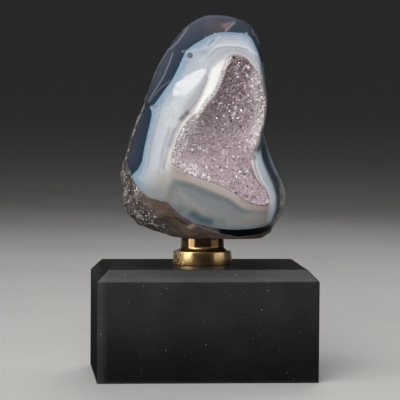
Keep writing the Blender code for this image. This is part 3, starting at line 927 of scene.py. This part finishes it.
def stone_points(stone):
    rows = [stone.hollow_row(i / HOLLOW_ROWS) for i in range(1, HOLLOW_ROWS + 1)]
    rows += [stone.face_row(math.sin(math.pi / 2 * i / FACE_ROWS)) for i in range(1, FACE_ROWS + 1)]
    rows += [stone.back_row(math.cos(math.pi / 2 * i / BACK_ROWS)) for i in range(1, BACK_ROWS)]
    rows.append(np.array([[HOLLOW_CENTRE[0], -HOLLOW_FLOOR, HOLLOW_CENTRE[1]]]))
    rows.append(np.array([[BACK_CENTRE[0], BACK_DEPTH, BACK_CENTRE[1]]]))
    return np.concatenate(rows)


def build_stone(stone):
    points = stone_points(stone)
    columns = len(stone.rim)
    count = len(points) - 2
    in_hollow = np.arange(len(points)) < HOLLOW_ROWS * columns
    in_hollow[count] = True
    coarse = np.where(in_hollow, 0.0, lump_amount(points))
    points = pushed_out(points, noise_at(points, RIND_SCALE, coarse) * RIND_LUMP)
    fields = stone_fields(points)
    rough = np.where(in_hollow, 0.0, ramp(fields["rind_depth"], -0.2, 1.5))
    rough *= ramp(points[:, 2], SEAT_HEIGHT, SEAT_HEIGHT + 1.0)
    moved = pushed_out(points, noise_at(points, RIND_GRAIN_SCALE, rough, RIND_OCTAVES) * RIND_GRAIN)
    obj = mesh_object("polished_agate", turned(moved), closed_faces(count, columns), agate_material())
    give_fields(obj, place=points, **fields)
    stand_for(obj, "agate_stone")
    return moved


# Druse

def crystal_lattice(stone, rng):
    """Jittered triangular lattice of crystal centres inside the hollow's rim."""
    low, high = stone.rim.min(0), stone.rim.max(0)
    step = CRYSTAL_PITCH * math.sqrt(3) / 2
    columns = int((high[0] - low[0]) / CRYSTAL_PITCH) + 2
    lines = int((high[1] - low[1]) / step) + 2
    i, j = np.meshgrid(np.arange(columns), np.arange(lines), indexing="ij")
    x = low[0] + (i + 0.5 * (j % 2)) * CRYSTAL_PITCH
    z = low[1] + j * step
    flat = np.stack([x.ravel(), z.ravel()], axis=1)
    flat += rng.uniform(-CRYSTAL_JITTER, CRYSTAL_JITTER, flat.shape) * CRYSTAL_PITCH
    return flat[depth_inside(flat, stone.rim) > CRYSTAL_MARGIN]


def hollow_normals(stone, flat):
    """Unit normals of the hollow's wall, out of the stone."""
    h = 0.3
    across, up = ((stone.hollow_depth(flat + step) - stone.hollow_depth(flat - step)) / (2 * h)
                  for step in np.array([(h, 0), (0, h)]))
    return unit(np.stack([-across, -np.ones(len(flat)), -up], axis=1))


def crystals(stone, rng):
    """Closed six-sided crystals with pointed tips; returns points, faces and a tone for each point."""
    flat = crystal_lattice(stone, rng)
    count = len(flat)
    normals = hollow_normals(stone, flat)
    foot = Stone.row(flat, -stone.hollow_depth(flat) - CRUST_LIFT - CRUST_BODY)
    tips = unit(normals + rng.normal(0.0, CRYSTAL_TILT, normals.shape))
    side = unit(np.cross(tips, rng.normal(size=tips.shape)))
    other = np.cross(tips, side)
    low, high = CRYSTAL_RADIUS
    radius = low + (high - low) * rng.random(count) ** FINE_SHARE
    tone = rng.random(count)
    radius = np.where(tone > BRIGHT_TONE, radius * BRIGHT_GROWTH, radius)
    shaft = radius * rng.uniform(*CRYSTAL_SHAFT, count)
    angles = (np.arange(6) * math.pi / 3)[None, :, None]
    ring = np.cos(angles) * side[:, None] + np.sin(angles) * other[:, None]
    ring = ring * (radius[:, None] * rng.uniform(*CRYSTAL_SIDE, (count, 6)))[..., None]
    base = foot[:, None] + ring - (tips * CRYSTAL_SINK)[:, None]
    shoulder = foot[:, None] + ring + (tips * shaft[:, None])[:, None]
    tip = foot + tips * (shaft + radius * rng.uniform(*CRYSTAL_TIP, count))[:, None]
    points = np.concatenate([base, shoulder, tip[:, None]], axis=1).reshape(-1, 3)
    faces = []
    for s in range(0, len(points), CRYSTAL_POINTS):
        faces.append(tuple(range(s + 5, s - 1, -1)))
        for i in range(6):
            j = (i + 1) % 6
            faces.append((s + i, s + j, s + 6 + j, s + 6 + i))
            faces.append((s + 6 + i, s + 6 + j, s + 12))
    return points, faces, np.repeat(tone, CRYSTAL_POINTS)


def crust(stone):
    """The closed sheet that the crystals stand on."""
    shares = np.sin(np.linspace(0.0, math.pi / 2, CRUST_ROWS + 1)[1:]) * CRUST_EDGE
    back = [stone.hollow_row(share, forward=CRUST_LIFT) for share in shares]
    front = [stone.hollow_row(share) for share in shares[::-1]]
    for row in front:
        row[:, 1] = -stone.hollow_depth(row[:, [0, 2]]) - CRUST_LIFT - CRUST_BODY
    points = np.concatenate(back + front)
    count = len(points)
    bumps = noise_at(points, CRUST_BUMP_SCALE, np.ones(count), 3) * CRUST_BUMP
    points[count // 2:, 1] -= bumps[count // 2:]
    ends = [(HOLLOW_CENTRE[0], -HOLLOW_FLOOR - lift, HOLLOW_CENTRE[1])
            for lift in (CRUST_LIFT, CRUST_LIFT + CRUST_BODY)]
    return np.concatenate([points, ends]), closed_faces(count, len(stone.rim))


def build_druse(stone):
    rng = np.random.default_rng(CRYSTAL_SEED)
    points, faces = crust(stone)
    sheet = mesh_object("druse_crust", turned(points), faces, crust_material())
    give_fields(sheet, place=points)
    points, faces, tone = crystals(stone, rng)
    flat = points[:, [0, 2]]
    grains = mesh_object("druse_crystals", turned(points), faces, druse_material(), smooth=False)
    give_fields(grains, place=points, tone=tone,
                pale_edge=np.minimum(*(distance_to_line(flat, line) for line in PALE_RIMS)),
                moss_edge=distance_to_line(flat, LIP_SHADE_RIM), white_edge=distance_to_line(flat, WHITE_RIM))
    for obj in (sheet, grains):
        stand_for(obj, "amethyst_druse")


# Mount and block

def rounded_profile(corners, radius, steps):
    """Half section through the corners, each of them rounded."""
    corners = [Vector(c) for c in corners]
    profile = [corners[0]]
    for before, corner, after in zip(corners, corners[1:], corners[2:]):
        inward = (before - corner).normalized()
        onward = (after - corner).normalized()
        start, end = corner + inward * radius, corner + onward * radius
        for step in range(steps + 1):
            t = step / steps
            profile.append(start * (1 - t) ** 2 + corner * (2 * t * (1 - t)) + end * t ** 2)
    profile.append(corners[-1])
    return profile


def mount_profile():
    """Half section of the mount; it closes the thin gaps that the CAD part leaves at both ends."""
    shoulder = NECK_RADIUS + NECK_COVE
    foot = rounded_profile([(0.0, -GAP), (FLANGE_RADIUS, -GAP), (FLANGE_RADIUS, FLANGE_HEIGHT),
                            (shoulder, FLANGE_HEIGHT)], MOUNT_ARRIS, ARRIS_STEPS)
    cove = []
    for step in range(1, COVE_STEPS + 1):
        angle = math.pi / 2 * step / COVE_STEPS
        cove.append(Vector((shoulder - NECK_COVE * math.sin(angle),
                            FLANGE_HEIGHT + NECK_COVE * (1 - math.cos(angle)))))
    top = rounded_profile([cove[-1], (NECK_RADIUS, MOUNT_HEIGHT + GAP), (0.0, MOUNT_HEIGHT + GAP)],
                          MOUNT_ARRIS, ARRIS_STEPS)
    return foot[1:] + cove + top[1:-1]


def build_mount():
    rows = []
    angles = np.arange(MOUNT_COLUMNS) * 2 * math.pi / MOUNT_COLUMNS
    for radius, height in mount_profile():
        rows.append(np.stack([radius * np.cos(angles), radius * np.sin(angles),
                              np.full(MOUNT_COLUMNS, height + BASE_HEIGHT + GAP)], axis=1))
    points = np.concatenate(rows)
    faces = capped_faces(len(points), MOUNT_COLUMNS)
    obj = mesh_object("turned_brass_mount", points, faces, brass_material())
    obj.data.set_sharp_from_angle(angle=CREASE)
    give_fields(obj, place=points)
    stand_for(obj, "brass_mount")


def block_ring(inset, height):
    """One level of the block: a rectangle with small rounded corners."""
    half_x, half_y = (size / 2 - inset - BASE_CORNER for size in (BASE_WIDTH, BASE_DEPTH))
    points, arris = [], []
    for corner, (sx, sy) in enumerate(((1, 1), (-1, 1), (-1, -1), (1, -1))):
        for step in range(CORNER_STEPS + 1):
            angle = math.pi / 2 * (corner + step / CORNER_STEPS)
            points.append((sx * half_x + BASE_CORNER * math.cos(angle),
                           sy * half_y + BASE_CORNER * math.sin(angle), height))
            arris.append(math.sin(math.pi * step / CORNER_STEPS))
    return points, arris


def build_block():
    corners = [(BASE_CORNER + 2.0, 0.0), (0.0, 0.0), (0.0, BASE_HEIGHT - BASE_CHAMFER),
               (BASE_CHAMFER, BASE_HEIGHT), (BASE_CHAMFER + 2.0, BASE_HEIGHT)]
    easing = [math.sin(math.pi * step / EASING_STEPS) for step in range(EASING_STEPS + 1)]
    points, arris = [], []
    profile = rounded_profile(corners, BASE_EASING, EASING_STEPS)
    for (inset, height), turn in zip(profile, [0.0] + easing * 3 + [0.0]):
        ring, corner_arris = block_ring(inset, height)
        points += ring
        arris += [max(turn, c) for c in corner_arris]
    points = np.array(points)
    obj = mesh_object("painted_block", points, capped_faces(len(points), len(ring)), paint_material())
    obj.data.set_sharp_from_angle(angle=CREASE)
    give_fields(obj, place=points, arris=arris)
    stand_for(obj, "base_block")


# Studio

LIGHTS_AIM = Vector((0.0, 0.0, 0.09))
HORIZON = (0.0212, 0.0212, 0.0222, 1.0)
OVERHEAD = (0.04, 0.04, 0.043, 1.0)
# Lights: name, azimuth, elevation, distance, size, radiance and, where it is narrow, spread
SOFT_LIGHTS = [
    ("key", -52, 56, 1.15, (0.7, 0.7), 0.65, 90), ("front", -12, 22, 1.4, (0.8, 0.8), 1.5, 70),
    ("overhead", 0, 86, 1.0, (0.5, 0.5), 0.5), ("rim_left", -118, 15, 1.2, (0.3, 0.8), 1.4),
    ("rim_right", 112, 25, 1.2, (0.3, 0.8), 1.2), ("rear", 165, 40, 1.4, (0.8, 0.8), 0.9, 80),
]
BRASS_LIGHTS = [
    ("brass_left", -64, 0, 0.36, (0.2, 0.2), 2.4), ("brass_right", 64, 0, 0.36, (0.27, 0.2), 0.8),
    ("brass_rear", 176, -3, 0.36, (0.5, 0.08), 0.8), ("brass_left_high", -62, 38, 0.36, (0.2, 0.3), 3.4),
    ("brass_high", 5, 40, 0.36, (0.9, 0.5), 0.13),
]
BLOCK_LIGHT = ("block_overhead", 0, 86, 1.0, (0.7, 0.7), 6.4)
SPARKLE_LIGHT = (1.2, (0.09, 0.09), 70.0)
SPARKLE_DIRECTIONS = [
    (-62, 12), (52, 12), (-42, 48), (36, 48), (-4, 68), (-82, 36), (74, 36), (-74, -8), (66, -8),
    (170, 70), (20, 82), (-60, 66),
]
CARD = [(-600, -1800, 1), (600, -1800, 1), (600, 600, 1), (-600, 600, 1)]
FLOOR_STOPS = stops((0.3, 196, 195, 192), (0.7, 204, 203, 200))
FLOOR_REACH = 30000.0
FLOOR_SIDES = 96


def direction(azimuth, elevation):
    a, e = math.radians(azimuth), math.radians(elevation)
    return Vector((math.sin(a) * math.cos(e), -math.cos(a) * math.cos(e), math.sin(e)))


def camera_axes():
    """Camera's right, up and back directions."""
    back = direction(CAMERA_AZIMUTH, CAMERA_ELEVATION)
    right = Vector((0.0, 0.0, 1.0)).cross(back).normalized()
    up = back.cross(right)
    r = math.radians(CAMERA_ROLL)
    return right * math.cos(r) + up * math.sin(r), up * math.cos(r) - right * math.sin(r), back


def add_camera():
    data = bpy.data.cameras.new("photo_camera")
    data.lens = CAMERA_LENS
    camera = bpy.data.objects.new("photo_camera", data)
    bpy.context.scene.collection.objects.link(camera)
    right, up, back = camera_axes()
    matrix = Matrix((right, up, back)).transposed().to_4x4()
    matrix.translation = (Vector(CAMERA_AIM) + back * CAMERA_DISTANCE) * MM
    camera.matrix_world = matrix
    bpy.context.scene.camera = camera
    return matrix.translation / MM


def hide(obj, *rays):
    for ray in rays:
        setattr(obj, "visible_" + ray, False)


def add_light(name, azimuth, elevation, distance, size, radiance, spread=180, mirrored=True, diffuse=True,
              only=()):
    """Soft rectangular light that looks at the stone; size and distance in metres, angles in degrees."""
    data = bpy.data.lights.new(name, "AREA")
    data.shape = "RECTANGLE"
    data.size, data.size_y = size
    data.energy = radiance * math.pi * size[0] * size[1]
    data.spread = math.radians(spread)
    light = bpy.data.objects.new(name, data)
    bpy.context.scene.collection.objects.link(light)
    toward = direction(azimuth, elevation)
    light.location = LIGHTS_AIM + toward * distance
    light.rotation_euler = toward.to_track_quat("Z", "Y").to_euler()
    hide(light, "camera")
    light.visible_glossy = mirrored
    light.visible_diffuse = diffuse
    if only:
        lit = bpy.data.collections.new(name + "_lit")
        for piece in only:
            lit.objects.link(bpy.data.objects[piece])
        light.light_linking.receiver_collection = lit


def mirrored_points(face, eye):
    """Far points that the camera at eye sees mirrored in the points of the face."""
    world = turned(face)
    along_row = np.roll(world, -1, axis=1) - np.roll(world, 1, axis=1)
    normals = unit(np.cross(along_row, np.gradient(world, axis=0)))
    normals *= -np.sign(normals[..., 1:2])
    look = unit(np.array(eye) - world)
    return world + (2 * normals * (normals * look).sum(axis=2)[..., None] - look) * GLARE_DISTANCE


def add_glare(points, eye):
    """A small bright window where the polished face mirrors it as the pale patch at its upper left."""
    columns = STONE_STEPS * len(RIM)
    face = points[:(HOLLOW_ROWS + FACE_ROWS) * columns].reshape(-1, columns, 3)
    flat = face[..., [0, 2]]
    mirrored = mirrored_points(face, eye)
    corners = []
    for corner in GLARE:
        distance = np.linalg.norm(flat - corner, axis=2)
        distance[:HOLLOW_ROWS] = np.inf
        corners.append(mirrored[np.unravel_index(np.argmin(distance), distance.shape)])
    inside = depth_inside(flat.reshape(-1, 2), GLARE).reshape(flat.shape[:2]) > 0.2
    kept = (inside[:-1, :-1] & inside[1:, :-1] & inside[:-1, 1:] & inside[1:, 1:]).ravel()
    used, cells = np.unique(np.array(grid_faces(*inside.shape, closed=False))[kept], return_inverse=True)
    middle = len(corners)
    faces = fan(range(middle), middle) + (cells.reshape(-1, 4) + middle + 1).tolist()
    points = np.concatenate([corners, [np.mean(corners, axis=0)], mirrored.reshape(-1, 3)[used]])
    n = Nodes("glare")
    emission = n.add("Emission", {"Strength": GLARE_STRENGTH})[0]
    n.plug(emission, n.tree.nodes["Material Output"].inputs["Surface"])
    window = mesh_object("glare_window", points, faces, n.owner)
    hide(window, "camera", "shadow")


def add_world():
    """Dim surroundings: nearly black at the horizon, soft grey overhead."""
    n = Nodes("studio", "worlds")
    height = n.split(n.add("TexCoord")["Generated"])[2]
    n.plug(n.mix(n.step(height, 0.05, 0.75), HORIZON, OVERHEAD), n.tree.nodes["Background"].inputs[0])
    bpy.context.scene.world = n.owner


def add_lights():
    for light in SOFT_LIGHTS:
        add_light(*light, mirrored=False)
    for number, (azimuth, elevation) in enumerate(SPARKLE_DIRECTIONS):
        add_light(f"sparkle_{number}", azimuth, elevation, *SPARKLE_LIGHT, diffuse=False,
                  only=["druse_crystals"])
    for light in BRASS_LIGHTS:
        add_light(*light, only=["turned_brass_mount"])
    add_light(*BLOCK_LIGHT, diffuse=False, only=["painted_block"])


def add_card():
    """A black card on the floor, seen only in reflections."""
    card = Nodes("dark_card")
    card.surface(Base_Color=(0.0, 0.0, 0.0, 1.0), Roughness=1.0)
    board = mesh_object("dark_card", CARD, [(0, 1, 2, 3)], card.owner, smooth=False)
    hide(board, "camera", "diffuse", "shadow")


def add_floor():
    """A wide pale floor under the block."""
    n = Nodes("floor")
    place = n.add("NewGeometry")["Position"]
    n.surface(Base_Color=n.ramp(n.noise(6.0, 3.0, over=place), FLOOR_STOPS), Roughness=0.8)
    angles = np.arange(FLOOR_SIDES) * 2 * math.pi / FLOOR_SIDES
    disc = np.stack([np.cos(angles), np.sin(angles), np.zeros(FLOOR_SIDES)], axis=1) * FLOOR_REACH
    floor = mesh_object("floor", disc, [tuple(range(FLOOR_SIDES))], n.owner, smooth=False)


def main():
    stone = Stone()
    surface = build_stone(stone)
    build_druse(stone)
    build_mount()
    build_block()
    eye = add_camera()
    bpy.context.scene.view_settings.view_transform = "Standard"
    add_world()
    add_lights()
    add_card()
    add_floor()
    add_glare(surface, eye)


main()
